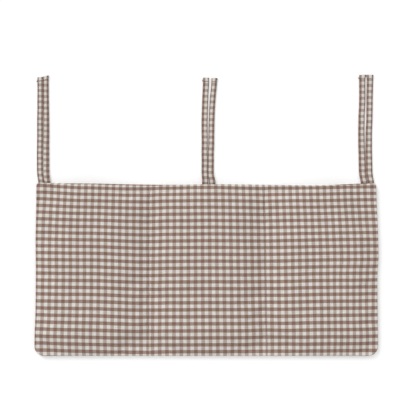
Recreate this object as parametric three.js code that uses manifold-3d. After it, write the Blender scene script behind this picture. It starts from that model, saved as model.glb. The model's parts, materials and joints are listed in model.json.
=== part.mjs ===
// Crib organizer: a padded gingham panel with three pockets side by side and
// three pairs of folded fabric ties along its top edge, laid flat on its back.
// Millimetres. +X runs along the panel, +Y towards the ties, +Z out of the pocket fronts.
import * as THREE from 'three';
import { mergeVertices } from 'three/addons/utils/BufferGeometryUtils.js';
import Module from 'manifold-3d';

const wasm = await Module();
wasm.setup();

// Panel
const PANEL_WIDTH = 600;
const PANEL_HEIGHT = 300;
const BOTTOM_CORNER_RADIUS = 18;
const EDGE_SEAM_WIDTH = 4;
const CLOTH_THICKNESS = 0.9;
const WADDING_THICKNESS = 3;
const TOP_HEM_DEPTH = 16;
const TOP_HEM_WEB = 0.7;
const CLEARANCE = 0.3;

// Pockets
const POCKETS = ['left', 'middle', 'right'];
const DIVIDERS = ['left', 'right'];
const DIVIDER_WIDTH = 4;
const POCKET_CROWN = 8;
const CROWN_RISE = 40;
const MOUTH_DROP = 2;
const MOUTH_EDGE_WIDTH = 3;
const SWING_CLEARANCE = 0.5;

// Ties
const TIE_WIDTH = 11;
const TIE_THICKNESS = 2;
const TIE_GAP = 0.6;
const TIE_EDGE_THINNING = 0.7;
const TIE_END_LENGTH = 6;
const TIE_END_BULGE = 0.8;
const TIE_SETTLE_LENGTH = 25;
const ROOT_SETBACK = 4;
const ROOT_OUT_LENGTH = 2;
const END_TIE_MARGIN = 1.6;
const MIDDLE_TIE_OFFSET = 2.6;

// Threads
const THREAD_THICKNESS = 0.8;
const TIE_STITCH_INSET = 2;
const TIE_STITCH_END = 4;
const TACK_INSET = 1.5;
const TACK_WIDTH = 1.4;

// Where each tie lies: how far it reaches past the top edge, and how far
// its tip and its middle stray sideways from a straight line.
const TIES = [
  { name: 'left_a', pair: 'left', side: -1, reach: 186, tip: -1.7, bow: -0.6 },
  { name: 'left_b', pair: 'left', side: 1, reach: 188, tip: -0.4, bow: -0.6 },
  { name: 'middle_a', pair: 'middle', side: -1, reach: 186, tip: 1.3, bow: -1.6 },
  { name: 'middle_b', pair: 'middle', side: 1, reach: 186, tip: 5.2, bow: -3.4 },
  { name: 'right_a', pair: 'right', side: -1, reach: 190, tip: -3.3, bow: -3.2 },
  { name: 'right_b', pair: 'right', side: 1, reach: 191, tip: -1.8, bow: -2.6 },
];

// How finely the soft forms are divided
const WALL_COLUMNS = 16;
const WALL_ROWS = 10;
const TIE_COLUMNS = 4;
const TIE_ROWS = 16;
const ROLL_SIDES = 12;
const THREAD_SIDES = 8;
const THREAD_ROWS = 12;
const CORNER_DIVISIONS = 4;
const WALL_ROW_EASE = 1.5;
const SEAM_END_SHARE = 0.6;

// The laid-out object is centred on the origin
const longestReach = Math.max(...TIES.map((tie) => tie.reach));
const leftEdge = -PANEL_WIDTH / 2;
const rightEdge = PANEL_WIDTH / 2;
const bottomEdge = -(PANEL_HEIGHT + longestReach) / 2;
const topEdge = bottomEdge + PANEL_HEIGHT;

// Heights of the layers, from the surface up
const coverTop = CLOTH_THICKNESS;
const waddingBottom = coverTop + CLEARANCE;
const waddingTop = waddingBottom + WADDING_THICKNESS;
const liningBottom = waddingTop + CLEARANCE;
const pocketFloor = liningBottom + CLOTH_THICKNESS;
const wallBottom = pocketFloor + CLEARANCE;
const frontClothBottom = wallBottom + CLOTH_THICKNESS + CLEARANCE;
const wallTop = frontClothBottom + CLOTH_THICKNESS;

// Room inside the edge seams
const layerLeft = leftEdge + EDGE_SEAM_WIDTH + CLEARANCE;
const layerRight = rightEdge - EDGE_SEAM_WIDTH - CLEARANCE;
const layerBottom = bottomEdge + EDGE_SEAM_WIDTH + CLEARANCE;
const layerRadius = BOTTOM_CORNER_RADIUS - EDGE_SEAM_WIDTH - CLEARANCE;
const wallFoot = bottomEdge + EDGE_SEAM_WIDTH + SWING_CLEARANCE;
const wallFootRadius = BOTTOM_CORNER_RADIUS - EDGE_SEAM_WIDTH - SWING_CLEARANCE;
const mouthTop = topEdge - MOUTH_DROP;
const wallHead = mouthTop - MOUTH_EDGE_WIDTH - CLEARANCE;
const hemBottom = topEdge - TOP_HEM_DEPTH;

// Finishes
const gingham = new THREE.MeshStandardMaterial({ color: 0xaa9a91, roughness: 0.9, metalness: 0 });
const lining = new THREE.MeshStandardMaterial({ color: 0xdfdad3, roughness: 0.9, metalness: 0 });
const wadding = new THREE.MeshStandardMaterial({ color: 0xf2f0ec, roughness: 1, metalness: 0 });
const thread = new THREE.MeshStandardMaterial({ color: 0x8a7266, roughness: 0.8, metalness: 0 });

const organizer = new THREE.Group();

function addPiece(name, geometry, material) {
  const piece = new THREE.Mesh(geometry, material);
  piece.name = name;
  organizer.add(piece);
}

// Moves every point of a geometry to where place puts it
function shaped(geometry, place) {
  const positions = geometry.getAttribute('position');
  const point = new THREE.Vector3();
  for (let i = 0; i < positions.count; i += 1) {
    point.fromBufferAttribute(positions, i);
    place(point);
    positions.setXYZ(i, point.x, point.y, point.z);
  }
  geometry.computeVertexNormals();
  return geometry;
}

// Splits a box's underside along the same diagonals as its top, so that curved layers nest
function alignUnderside(box) {
  const underside = box.groups.at(-1);
  const index = box.getIndex();
  for (let i = underside.start; i < underside.start + underside.count; i += 6) {
    const [a, b, , , c, d] = index.array.slice(i, i + 6);
    index.array.set([a, b, c, a, c, d], i);
  }
}

// A cloth slab: place gets the shares across, along and through it, each from 0 to 1
function slab(columns, rows, place) {
  const box = new THREE.BoxGeometry(1, 1, 1, columns, rows, 1);
  alignUnderside(box);
  return shaped(box, (point) => place(point, point.x + 0.5, point.y + 0.5, point.z + 0.5));
}

// Draws a round section towards a rounded square
function squarer(value) {
  return Math.sign(value) * Math.sqrt(Math.abs(value));
}

// A soft roll along a line of points, upright, with its ends closed
function roll(centres, width, height, sides, endShare = 1) {
  const last = centres.length - 1;
  const tube = new THREE.CylinderGeometry(1, 1, 1, sides, last);
  return shaped(tube, (point) => {
    const index = Math.round((point.y + 0.5) * last);
    const before = centres[Math.max(index - 1, 0)];
    const after = centres[Math.min(index + 1, last)];
    const heading = new THREE.Vector2(after.x - before.x, after.y - before.y).normalize();
    const share = index === last ? endShare : 1;
    const across = squarer(point.x) * (width / 2) * share;
    const up = squarer(point.z) * (height / 2) * share;
    const centre = centres[index];
    point.set(centre.x + heading.y * across, centre.y - heading.x * across, centre.z + up);
  });
}

// Points spread evenly from one share to another along a formula
function spread(count, formula) {
  return Array.from({ length: count + 1 }, (_, i) => formula(i / count));
}

// The outline of a flat layer, with the panel's rounded bottom corners
function layerOutline(top) {
  const leftCentre = layerLeft + layerRadius;
  const rightCentre = layerRight - layerRadius;
  const centreHeight = layerBottom + layerRadius;
  const outline = new THREE.Shape();
  outline.moveTo(layerRight, top);
  outline.lineTo(layerLeft, top);
  outline.absarc(leftCentre, centreHeight, layerRadius, Math.PI, 1.5 * Math.PI);
  outline.absarc(rightCentre, centreHeight, layerRadius, 1.5 * Math.PI, 2 * Math.PI);
  outline.closePath();
  return outline;
}

function layer(outline, bottom, thickness) {
  const flat = { depth: thickness, bevelEnabled: false, curveSegments: 2 * CORNER_DIVISIONS };
  return new THREE.ExtrudeGeometry(outline, flat).translate(0, 0, bottom);
}

// A closed geometry as a solid that can be cut
function solid(geometry) {
  const bare = geometry.clone();
  bare.deleteAttribute('normal');
  bare.deleteAttribute('uv');
  const merged = mergeVertices(bare);
  const vertProperties = new Float32Array(merged.getAttribute('position').array);
  const triVerts = new Uint32Array(merged.getIndex().array);
  return new wasm.Manifold(new wasm.Mesh({ numProp: 3, vertProperties, triVerts }));
}

// What is left of a geometry when others are cut out of it
function cut(geometry, cutters) {
  const rest = cutters.reduce((left, cutter) => left.subtract(solid(cutter)), solid(geometry));
  const mesh = rest.getMesh();
  const result = new THREE.BufferGeometry();
  result.setAttribute('position', new THREE.BufferAttribute(mesh.vertProperties, 3));
  result.setIndex(new THREE.BufferAttribute(mesh.triVerts, 1));
  result.computeVertexNormals();
  return result;
}

// Ties: where each one's sewn root has its middle
const pairHalfWidth = TIE_WIDTH + TIE_GAP / 2;
const pairMiddles = {
  left: layerLeft + END_TIE_MARGIN + pairHalfWidth,
  middle: MIDDLE_TIE_OFFSET,
  right: layerRight - END_TIE_MARGIN - pairHalfWidth,
};
const rootBottom = waddingBottom;
const notchTop = waddingTop - TOP_HEM_WEB;
const rootTop = notchTop - CLEARANCE;
const hingeHeight = (rootBottom + rootTop) / 2;
const rootStart = hemBottom + ROOT_SETBACK;
const rootEnd = topEdge + ROOT_OUT_LENGTH;
const hingeLine = rootEnd + TIE_THICKNESS / 2 + CLEARANCE;
const noseAngle = Math.PI / 6;
const noseLine = hingeLine - (TIE_THICKNESS / 2) * Math.cos(noseAngle);
const tackLine = (rootStart + topEdge) / 2;
const tackLength = TIE_WIDTH - 2 * TACK_INSET;

function tieMiddle(tie) {
  return pairMiddles[tie.pair] + (tie.side * (TIE_WIDTH + TIE_GAP)) / 2;
}

// Back of the panel, with a window in the cover where each bar tack comes through
function addBack() {
  const cover = layer(layerOutline(topEdge), 0, CLOTH_THICKNESS);
  const windows = TIES.map((tie) => {
    const length = tackLength + 2 * CLEARANCE;
    const width = TACK_WIDTH + 2 * CLEARANCE;
    const window = new THREE.BoxGeometry(length, width, 3 * CLOTH_THICKNESS);
    return window.translate(tieMiddle(tie), tackLine, CLOTH_THICKNESS / 2);
  });
  addPiece('back_cover', cut(cover, windows), gingham);
  const batt = layerOutline(hemBottom - CLEARANCE);
  addPiece('back_wadding', layer(batt, waddingBottom, WADDING_THICKNESS), wadding);
  addPiece('back_lining', layer(layerOutline(topEdge), liningBottom, CLOTH_THICKNESS), lining);
}

// Turned-in cloth along the top edge, notched from below for each pair of tie roots
function addTopHem() {
  const section = new THREE.Shape();
  section.moveTo(layerLeft, waddingBottom);
  for (const middle of Object.values(pairMiddles)) {
    const halfNotch = pairHalfWidth + CLEARANCE;
    section.lineTo(middle - halfNotch, waddingBottom);
    section.lineTo(middle - halfNotch, notchTop);
    section.lineTo(middle + halfNotch, notchTop);
    section.lineTo(middle + halfNotch, waddingBottom);
  }
  section.lineTo(layerRight, waddingBottom);
  section.lineTo(layerRight, waddingTop);
  section.lineTo(layerLeft, waddingTop);
  section.closePath();
  const bar = new THREE.ExtrudeGeometry(section, { depth: TOP_HEM_DEPTH, bevelEnabled: false });
  bar.rotateX(Math.PI / 2).translate(0, topEdge, 0);
  addPiece('top_hem', bar, gingham);
}

// Turned edges down both sides and round the bottom
function addEdgeSeams() {
  const middleHeight = wallTop / 2;
  const halfSeam = EDGE_SEAM_WIDTH / 2;
  const sideFoot = bottomEdge + BOTTOM_CORNER_RADIUS + CLEARANCE;
  const sides = { left: leftEdge + halfSeam, right: rightEdge - halfSeam };
  for (const [name, x] of Object.entries(sides)) {
    const line = [sideFoot, topEdge - halfSeam, topEdge];
    const centres = line.map((y) => new THREE.Vector3(x, y, middleHeight));
    const seam = roll(centres, EDGE_SEAM_WIDTH, wallTop, ROLL_SIDES, SEAM_END_SHARE);
    addPiece(`edge_seam_${name}`, seam, gingham);
  }
  const radius = BOTTOM_CORNER_RADIUS - halfSeam;
  const cornerHeight = bottomEdge + BOTTOM_CORNER_RADIUS;
  const course = new THREE.Path();
  course.absarc(leftEdge + BOTTOM_CORNER_RADIUS, cornerHeight, radius, Math.PI, 1.5 * Math.PI);
  course.absarc(rightEdge - BOTTOM_CORNER_RADIUS, cornerHeight, radius, 1.5 * Math.PI, 2 * Math.PI);
  const points = course.getPoints(CORNER_DIVISIONS);
  const centres = points.map((point) => new THREE.Vector3(point.x, point.y, middleHeight));
  addPiece('edge_seam_bottom', roll(centres, EDGE_SEAM_WIDTH, wallTop, ROLL_SIDES), gingham);
}

// Pockets: the lines between them, and the room that each wall has
const pocketWidth = PANEL_WIDTH / POCKETS.length;
const pockets = POCKETS.map((name, index) => {
  const first = index === 0;
  const last = index === POCKETS.length - 1;
  const leftSeam = first ? EDGE_SEAM_WIDTH : DIVIDER_WIDTH / 2;
  const rightSeam = last ? EDGE_SEAM_WIDTH : DIVIDER_WIDTH / 2;
  const left = leftEdge + index * pocketWidth + leftSeam + SWING_CLEARANCE;
  const right = leftEdge + (index + 1) * pocketWidth - rightSeam - SWING_CLEARANCE;
  return { name, left, right, first, last };
});

// Lowest point of a wall at x: it follows the rounded corners of the outer pockets
function footAt(pocket, x) {
  const intoLeft = pocket.first ? pocket.left + wallFootRadius - x : 0;
  const intoRight = pocket.last ? x - (pocket.right - wallFootRadius) : 0;
  const into = Math.min(Math.max(intoLeft, intoRight, 0), wallFootRadius);
  return wallFoot + wallFootRadius - Math.sqrt(wallFootRadius ** 2 - into ** 2);
}

// How far a wall stands off the back: drawn in at its seams, full up to its mouth
function crownAt(pocket, x, y) {
  const half = (pocket.right - pocket.left) / 2;
  const aside = (x - pocket.left) / half - 1;
  const rise = THREE.MathUtils.smoothstep(y, footAt(pocket, x), wallFoot + CROWN_RISE);
  return POCKET_CROWN * (1 - aside ** 4) * rise;
}

// Columns lie closer together towards the seams
function columnAt(pocket, share) {
  const eased = (1 - Math.cos(Math.PI * share)) / 2;
  return pocket.left + (pocket.right - pocket.left) * eased;
}

function wallLayer(pocket, bottom) {
  return slab(WALL_COLUMNS, WALL_ROWS, (point, across, along, through) => {
    const x = columnAt(pocket, across);
    const foot = footAt(pocket, x);
    const y = foot + (wallHead - foot) * along ** WALL_ROW_EASE;
    point.set(x, y, bottom + crownAt(pocket, x, y) + through * CLOTH_THICKNESS);
  });
}

function addPocketWalls() {
  for (const pocket of pockets) {
    addPiece(`pocket_lining_${pocket.name}`, wallLayer(pocket, wallBottom), lining);
    addPiece(`pocket_front_${pocket.name}`, wallLayer(pocket, frontClothBottom), gingham);
    const edgeMiddle = mouthTop - MOUTH_EDGE_WIDTH / 2;
    const centres = spread(WALL_COLUMNS, (share) => {
      const x = columnAt(pocket, share);
      const z = (wallBottom + wallTop) / 2 + crownAt(pocket, x, edgeMiddle);
      return new THREE.Vector3(x, edgeMiddle, z);
    });
    const mouth = roll(centres, MOUTH_EDGE_WIDTH, wallTop - wallBottom, ROLL_SIDES);
    addPiece(`pocket_mouth_${pocket.name}`, mouth, gingham);
  }
}

// Sewn-down strips between the pockets, each with its line of thread
function addDividers() {
  DIVIDERS.forEach((name, index) => {
    const x = leftEdge + (index + 1) * pocketWidth;
    const strip = slab(1, 1, (point, across, along, through) => {
      const y = THREE.MathUtils.lerp(layerBottom, mouthTop, along);
      const z = THREE.MathUtils.lerp(wallBottom, wallTop, through);
      point.set(x + (across - 0.5) * DIVIDER_WIDTH, y, z);
    });
    addPiece(`divider_seam_${name}`, strip, gingham);
    const threadHeight = wallTop + CLEARANCE + THREAD_THICKNESS / 2;
    const centres = spread(THREAD_ROWS, (share) => {
      const y = THREE.MathUtils.lerp(layerBottom, mouthTop, share);
      return new THREE.Vector3(x, y, threadHeight);
    });
    const line = roll(centres, THREAD_THICKNESS, THREAD_THICKNESS, THREAD_SIDES);
    addPiece(`divider_stitch_${name}`, line, thread);
  });
}

// A tie's own line: it strays sideways, and settles from its root down to the surface
function tieLine(tie, y) {
  const share = (y - hingeLine) / (topEdge + tie.reach - hingeLine);
  const x = tieMiddle(tie) + tie.tip * share + tie.bow * 4 * share * (1 - share);
  const settled = THREE.MathUtils.smoothstep(y, hingeLine, hingeLine + TIE_SETTLE_LENGTH);
  const hangingUnderside = hingeHeight - TIE_THICKNESS / 2;
  return { x, underside: hangingUnderside * (1 - settled) };
}

// Height of a tie's upper face over its underside: thin edges, bulky turned-in end
function tieBulk(tie, y, across) {
  const aside = 2 * across - 1;
  const edges = 1 - TIE_EDGE_THINNING * aside ** 4;
  const endStart = topEdge + tie.reach - TIE_END_LENGTH;
  const end = THREE.MathUtils.smoothstep(y, endStart - TIE_END_LENGTH, endStart);
  return TIE_THICKNESS * edges + TIE_END_BULGE * end;
}

// Each tie is its sewn root, the tack through it, and the strip past the line it swings on.
// The strip's end is rounded about that line, so that it clears the root.
function addTies() {
  for (const tie of TIES) {
    const middle = tieMiddle(tie);
    const tip = topEdge + tie.reach;
    const root = new THREE.BoxGeometry(TIE_WIDTH, rootEnd - rootStart, rootTop - rootBottom);
    root.translate(middle, (rootStart + rootEnd) / 2, hingeHeight);
    addPiece(`tie_root_${tie.name}`, root, gingham);

    const tack = new THREE.BoxGeometry(tackLength, TACK_WIDTH, CLOTH_THICKNESS);
    tack.translate(middle, tackLine, CLOTH_THICKNESS / 2);
    addPiece(`tie_tack_${tie.name}`, tack, thread);

    const strip = slab(TIE_COLUMNS, TIE_ROWS + 1, (point, across, along, through) => {
      const row = Math.round(along * (TIE_ROWS + 1)) - 1;
      const y = THREE.MathUtils.lerp(hingeLine, tip, Math.max(row, 0) / TIE_ROWS);
      const line = tieLine(tie, y);
      const x = line.x + (across - 0.5) * TIE_WIDTH;
      const z = line.underside + through * tieBulk(tie, y, across);
      if (row < 0) point.set(x, noseLine, hingeHeight + (z - hingeHeight) * Math.sin(noseAngle));
      else point.set(x, y, z);
    });
    addPiece(`tie_strip_${tie.name}`, strip, gingham);

    const stitchAcross = tie.side * (TIE_WIDTH / 2 - TIE_STITCH_INSET);
    const centres = spread(TIE_ROWS, (share) => {
      const y = THREE.MathUtils.lerp(hingeLine + TIE_STITCH_END, tip - TIE_STITCH_END, share);
      const line = tieLine(tie, y);
      const bulk = tieBulk(tie, y, 0.5 + stitchAcross / TIE_WIDTH);
      const z = line.underside + bulk + CLEARANCE + THREAD_THICKNESS / 2;
      return new THREE.Vector3(line.x + stitchAcross, y, z);
    });
    const stitch = roll(centres, THREAD_THICKNESS, THREAD_THICKNESS, THREAD_SIDES);
    addPiece(`tie_stitch_${tie.name}`, stitch, thread);
  }
}

addBack();
addTopHem();
addEdgeSeams();
addPocketWalls();
addDividers();
addTies();

export default organizer;
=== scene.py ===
# %% [markdown]
# # A gingham crib organizer
# A crib organizer is a flat padded panel with a row of open pockets, tied to the rail of a cot by
# its cloth ties. Almost everything on it is sewn cloth, so this lesson works as a sewing room does:
# cut a flat piece, mark its checks, give it its shape, sew it to its neighbours. The frame, a plain
# solid for each piece, comes from the CAD model, and every cloth is fitted to the places it gives.

# %% Load the frame
import json
import math

import bmesh
import bpy
from mathutils import Matrix, Vector, noise
from mathutils.geometry import intersect_point_line


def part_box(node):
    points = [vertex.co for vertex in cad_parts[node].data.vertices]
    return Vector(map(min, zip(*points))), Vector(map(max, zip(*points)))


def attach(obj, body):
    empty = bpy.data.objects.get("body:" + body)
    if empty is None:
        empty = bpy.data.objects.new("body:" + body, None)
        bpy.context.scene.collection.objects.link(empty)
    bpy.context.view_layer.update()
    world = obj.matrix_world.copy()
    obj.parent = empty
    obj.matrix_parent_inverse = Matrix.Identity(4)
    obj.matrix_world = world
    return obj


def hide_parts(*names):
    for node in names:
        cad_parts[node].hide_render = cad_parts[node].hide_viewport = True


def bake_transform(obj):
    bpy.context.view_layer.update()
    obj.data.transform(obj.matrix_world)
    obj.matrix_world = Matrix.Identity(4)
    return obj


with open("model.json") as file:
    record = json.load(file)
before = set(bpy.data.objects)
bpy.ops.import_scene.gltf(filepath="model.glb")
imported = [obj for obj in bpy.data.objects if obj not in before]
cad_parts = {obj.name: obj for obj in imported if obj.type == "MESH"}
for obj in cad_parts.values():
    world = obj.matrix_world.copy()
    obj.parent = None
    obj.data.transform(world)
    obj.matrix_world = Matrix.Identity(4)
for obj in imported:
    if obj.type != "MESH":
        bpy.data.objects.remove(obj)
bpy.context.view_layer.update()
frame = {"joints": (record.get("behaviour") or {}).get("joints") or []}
MM = 0.001

# %% [markdown]
# ## Places on the panel
# The frame's nodes say where the panel begins and ends, where the two sewn lines run and how high
# each layer lies. Reading them here, instead of typing them again, keeps the cloth on its frame.

# %% Read the panel's places
PANEL_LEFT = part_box("edge_seam_left")[0].x
PANEL_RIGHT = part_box("edge_seam_right")[1].x
PANEL_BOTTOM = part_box("edge_seam_bottom")[0].y
PANEL_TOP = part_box("top_hem")[1].y
PANEL_HEIGHT = PANEL_TOP - PANEL_BOTTOM
HALF_WIDTH = PANEL_RIGHT
HEM_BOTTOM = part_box("top_hem")[0].y
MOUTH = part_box("pocket_mouth_middle")[1].y
LINING_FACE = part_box("back_lining")[1].z
FRONT_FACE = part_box("divider_seam_left")[1].z
CROWN_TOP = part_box("pocket_front_middle")[1].z
WALL_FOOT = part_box("pocket_front_middle")[0].y
DIVIDER_LEFT = sum(corner.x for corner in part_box("divider_seam_left")) / 2
DIVIDER_RIGHT = sum(corner.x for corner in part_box("divider_seam_right")) / 2
POCKETS = {
    "left": (PANEL_LEFT, DIVIDER_LEFT),
    "middle": (DIVIDER_LEFT, DIVIDER_RIGHT),
    "right": (DIVIDER_RIGHT, PANEL_RIGHT),
}
print("panel:", round(2 * HALF_WIDTH / MM), "by", round(PANEL_HEIGHT / MM), "mm")

# %% [markdown]
# ## Camera
# The organizer was photographed from straight above, so the camera looks down with no turn. A long
# lens far away keeps the sides of the thin panel from showing. The picture's scale is the panel's
# width over the pixels that it covers.

# %% Place the camera
PHOTO_PIXELS = 416
PANEL_PIXELS = 344.5
PANEL_MIDDLE_PIXEL = 206.5
TOP_EDGE_PIXEL = 183.6
LENS = 100.0
SENSOR = 36.0


def new_object(name, data):
    """Puts an object with this data into the scene."""
    made = bpy.data.objects.new(name, data)
    bpy.context.scene.collection.objects.link(made)
    return made


metres_per_pixel = 2 * HALF_WIDTH / PANEL_PIXELS
camera_data = bpy.data.cameras.new("camera")
camera_data.lens = LENS
camera_data.sensor_width = SENSOR
camera = new_object("camera", camera_data)
camera.location = (
    (PHOTO_PIXELS / 2 - PANEL_MIDDLE_PIXEL) * metres_per_pixel,
    PANEL_TOP - (PHOTO_PIXELS / 2 - TOP_EDGE_PIXEL) * metres_per_pixel,
    FRONT_FACE + PHOTO_PIXELS * metres_per_pixel * LENS / SENSOR,
)
bpy.context.scene.camera = camera
print("camera:", round(camera.location.z, 3), "m above the floor")

# %% [markdown]
# ## Floor and light
# The panel lies on a white sheet under a bright even sky. A weak lamp stands low and far off to the
# upper left and draws the soft shadow along the right and bottom edges: a sun lamp with a wide disc
# does that for both ends alike. Lamp and sky together light a white surface to about white, so that
# colours render as they are written. The floor adds a little light of its own for the camera only,
# which makes it white and still leaves the shadow beside the cloth.

# %% Lay the floor
FLOOR_COLOUR = (0.82, 0.82, 0.82, 1)
FLOOR_GLOW = 0.245
FLOOR_HALF = 6.0


def feed(tree, value, socket):
    """Links a socket to another, or sets it to a plain value."""
    if isinstance(value, bpy.types.NodeSocket):
        tree.links.new(value, socket)
    else:
        socket.default_value = value


def maths(tree, operation, *values):
    node = tree.nodes.new("ShaderNodeMath")
    node.operation = operation
    for value, socket in zip(values, node.inputs):
        feed(tree, value, socket)
    return node.outputs[0]


def camera_only(tree):
    """One for what the camera, a mirror or a glass sees, and zero for the light on other things."""
    path = tree.nodes.new("ShaderNodeLightPath").outputs
    seen = maths(tree, "MAXIMUM", path["Is Camera Ray"], path["Is Glossy Ray"])
    return maths(tree, "MAXIMUM", seen, path["Is Transmission Ray"])


def make_floor_white():
    material = bpy.data.materials.new("floor_white")
    material.use_nodes = True
    tree = material.node_tree
    tree.nodes.clear()
    paper = tree.nodes.new("ShaderNodeBsdfDiffuse")
    paper.inputs["Color"].default_value = FLOOR_COLOUR
    glow = tree.nodes.new("ShaderNodeEmission")
    feed(tree, maths(tree, "MULTIPLY", camera_only(tree), FLOOR_GLOW), glow.inputs["Strength"])
    both = tree.nodes.new("ShaderNodeAddShader")
    feed(tree, paper.outputs[0], both.inputs[0])
    feed(tree, glow.outputs[0], both.inputs[1])
    out = tree.nodes.new("ShaderNodeOutputMaterial")
    feed(tree, both.outputs[0], out.inputs["Surface"])
    return material


def new_piece(name, shape, *materials):
    """Turns a bmesh into an object with a smooth mesh."""
    mesh = bpy.data.meshes.new(name)
    shape.to_mesh(mesh)
    shape.free()
    for material in materials:
        mesh.materials.append(material)
    for polygon in mesh.polygons:
        polygon.use_smooth = True
    return new_object(name, mesh)


sheet = bmesh.new()
bmesh.ops.create_grid(sheet, x_segments=1, y_segments=1, size=FLOOR_HALF)
floor = new_piece("floor", sheet, make_floor_white())
print("floor:", round(2 * FLOOR_HALF), "m square")

# %% Set the lamp and the sky
LAMP_FROM = Vector((-1.2, 1.5, 1.4))
LAMP_DISC = math.radians(30)
LAMP_STRENGTH = 1.25
SKY_COLOUR = (1, 1, 1, 1)
SKY_STRENGTH = 0.766


def make_lamp():
    lamp_data = bpy.data.lights.new("lamp", "SUN")
    lamp_data.angle = LAMP_DISC
    lamp_data.energy = LAMP_STRENGTH
    lamp = new_object("lamp", lamp_data)
    lamp.location = LAMP_FROM
    lamp.rotation_euler = (-LAMP_FROM).to_track_quat("-Z", "Y").to_euler()


def make_sky():
    """White where the camera sees it, and weaker where it lights the cloth."""
    sky = bpy.data.worlds.new("sky")
    sky.use_nodes = True
    tree = sky.node_tree
    background = tree.nodes["Background"]
    background.inputs["Color"].default_value = SKY_COLOUR
    strength = tree.nodes.new("ShaderNodeMapRange")
    strength.inputs["To Min"].default_value = SKY_STRENGTH
    strength.inputs["To Max"].default_value = 1.0
    feed(tree, camera_only(tree), strength.inputs["Value"])
    feed(tree, strength.outputs[0], background.inputs["Strength"])
    bpy.context.scene.world = sky


make_lamp()
make_sky()
bpy.context.scene.view_settings.view_transform = "Standard"
print("light: a lamp of", LAMP_STRENGTH, "and a sky of", SKY_STRENGTH)

# %% [markdown]
# ## Yarn
# Every cloth here is a plain weave: yarns along the cloth pass over and under yarns across it. One
# node group draws that once for all of them. It reads the cloth's own map, where one unit is one
# check repeat, and gives a dome for each place where a yarn comes up, which way that yarn runs, and
# slubs, the streaks where a yarn was spun thicker or thinner.

# %% Make the yarn group
SLUB_STRETCHES = ((9.0, 0.5, 1.0), (0.5, 9.0, 1.0))


def noisy(tree, vector, scale):
    """A noise value around zero."""
    node = tree.nodes.new("ShaderNodeTexNoise")
    node.inputs["Scale"].default_value = scale
    feed(tree, vector, node.inputs["Vector"])
    return maths(tree, "SUBTRACT", node.outputs["Fac"], 0.5)


def make_yarn_group():
    group = bpy.data.node_groups.new("yarn", "ShaderNodeTree")
    for label, kind in (("Weave", "NodeSocketVector"), ("Yarns", "NodeSocketFloat")):
        group.interface.new_socket(name=label, in_out="INPUT", socket_type=kind)
    for label in ("Dome", "Over", "Slub"):
        group.interface.new_socket(name=label, in_out="OUTPUT", socket_type="NodeSocketFloat")
    given = group.nodes.new("NodeGroupInput").outputs
    result = group.nodes.new("NodeGroupOutput").inputs
    place = group.nodes.new("ShaderNodeSeparateXYZ")
    feed(group, given["Weave"], place.inputs[0])
    turn = maths(group, "MULTIPLY", given["Yarns"], math.pi)
    waves = [maths(group, "SINE", maths(group, "MULTIPLY", place.outputs[axis], turn)) for axis in "XY"]
    over = maths(group, "MULTIPLY", *waves)
    feed(group, over, result["Over"])
    feed(group, maths(group, "ABSOLUTE", over), result["Dome"])
    slubs = []
    for stretch in SLUB_STRETCHES:
        mapping = group.nodes.new("ShaderNodeMapping")
        mapping.inputs["Scale"].default_value = stretch
        feed(group, given["Weave"], mapping.inputs["Vector"])
        slubs.append(noisy(group, mapping.outputs[0], 1.0))
    feed(group, maths(group, "ADD", *slubs), result["Slub"])
    return group


yarn_group = make_yarn_group()
print("node group:", yarn_group.name)

# %% [markdown]
# ## Gingham
# Gingham is woven from bands of dyed and undyed yarn in both directions. The bands across show more
# than the bands along, as they do on the real cloth, and the mixed crossings are a little warmer
# than a plain mixture of the two yarns. The pattern comes from the cloth's own map, so it follows
# every fold, and needs no picture. The ties are a shade darker than the panel, so they have the
# same material in a lower tone.

# %% Helpers for woven cloth
WEAVE_MAP = "weave"
YARNS_PER_CHECK = 16.0
YARN_HEIGHT = 0.12 * MM
SLUB_RELIEF = 0.5
BUMP_STRENGTH = 0.6
CLOTH_ROUGHNESS = 0.9
CLOTH_SHINE = 0.2


def new_material(name):
    material = bpy.data.materials.new(name)
    material.use_nodes = True
    return material, material.node_tree, material.node_tree.nodes["Principled BSDF"]


def woven(tree):
    """The cloth's own map, and what the yarn group makes of it."""
    weave = tree.nodes.new("ShaderNodeUVMap")
    weave.uv_map = WEAVE_MAP
    yarn = tree.nodes.new("ShaderNodeGroup")
    yarn.node_tree = yarn_group
    feed(tree, weave.outputs[0], yarn.inputs["Weave"])
    feed(tree, YARNS_PER_CHECK, yarn.inputs["Yarns"])
    return weave.outputs[0], yarn.outputs


def mixed(tree, factor, first, second, blend="MIX"):
    node = tree.nodes.new("ShaderNodeMix")
    node.data_type = "RGBA"
    node.blend_type = blend
    feed(tree, factor, node.inputs["Factor"])
    feed(tree, first, node.inputs["A"])
    feed(tree, second, node.inputs["B"])
    return node.outputs["Result"]


def shaded(tree, colour, factor):
    """The colour, made lighter or darker by a factor round one."""
    node = tree.nodes.new("ShaderNodeVectorMath")
    node.operation = "SCALE"
    feed(tree, colour, node.inputs[0])
    feed(tree, factor, node.inputs["Scale"])
    return node.outputs[0]


def painted_yarn_shade_and_slubs(tree, yarn, gap_shade, top_light, streak):
    """A factor round one: painted shade, low in the gaps between yarns and higher on a yarn's top, with
    slub streaks along it.
    """
    painted_relief = maths(tree, "MULTIPLY_ADD", yarn["Dome"], top_light, gap_shade)
    return maths(tree, "MULTIPLY_ADD", yarn["Slub"], streak, painted_relief)


def bump(tree, height, distance):
    node = tree.nodes.new("ShaderNodeBump")
    node.inputs["Strength"].default_value = BUMP_STRENGTH
    node.inputs["Distance"].default_value = distance
    feed(tree, height, node.inputs["Height"])
    return node.outputs[0]


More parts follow.
